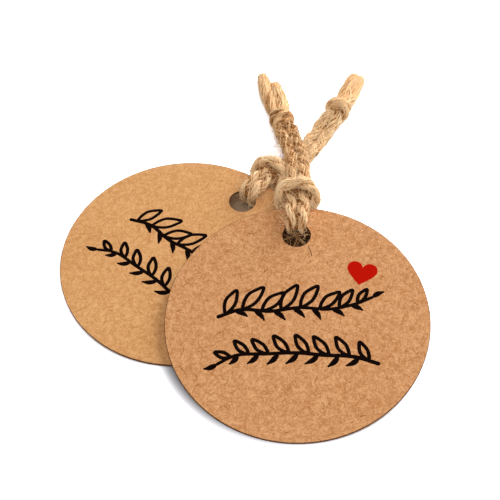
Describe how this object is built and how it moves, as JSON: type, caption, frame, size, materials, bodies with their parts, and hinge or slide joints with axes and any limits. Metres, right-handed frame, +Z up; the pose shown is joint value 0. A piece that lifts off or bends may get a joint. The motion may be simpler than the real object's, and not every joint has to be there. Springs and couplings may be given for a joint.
{
  "type": "hang tag",
  "caption": "Round kraft card hang tags lying one on the other, each with a doubled jute twine hitched through its punched hole and knotted near the frayed ends.",
  "frame": {"origin": "on the table, under the middle of the box round the two cards", "axes": "+Z up from the table, +Y the way the strings point, +X to the right of someone who reads the front tag"},
  "size_m": [0.0648, 0.0897, 0.0095],
  "materials": {
    "kraft_card": "matt uncoated kraft board with visible fibres",
    "jute_twine": "rough two-ply twine with loose fibres",
    "jute_fibre": "pale untwisted fibres",
    "black_ink": "matt printed ink",
    "red_ink": "matt printed ink"
  },
  "bodies": {
    "back_tag": {"back_card": "kraft_card", "back_hitch": "jute_twine"},
    "back_string": {"back_tail_left": "jute_twine", "back_tail_right": "jute_twine", "back_knot": "jute_twine", "back_end_left": "jute_fibre", "back_end_right": "jute_fibre"},
    "front_tag": {"front_card": "kraft_card", "front_hitch": "jute_twine"},
    "front_string": {"front_tail_left": "jute_twine", "front_tail_right": "jute_twine", "front_knot": "jute_twine", "front_end_left": "jute_fibre", "front_end_right": "jute_fibre"}
  },
  "joints": [
    {"name": "back_string_swing", "type": "hinge", "parent": "back_tag", "child": "back_string", "pos_m": [0.01002, 0.02709, 0], "axis": [0, 0, 1], "range_deg": [-45, 0]},
    {"name": "front_tag_lift", "type": "slide", "parent": "back_tag", "child": "front_tag", "axis": [0, 0, 1], "range_m": [0, 0.03]},
    {"name": "front_string_lift", "type": "hinge", "parent": "front_tag", "child": "front_string", "pos_m": [0.01136, 0.02049, 0.00707], "axis": [0.9985, -0.051, 0.0198], "range_deg": [0, 100]}
  ]
}
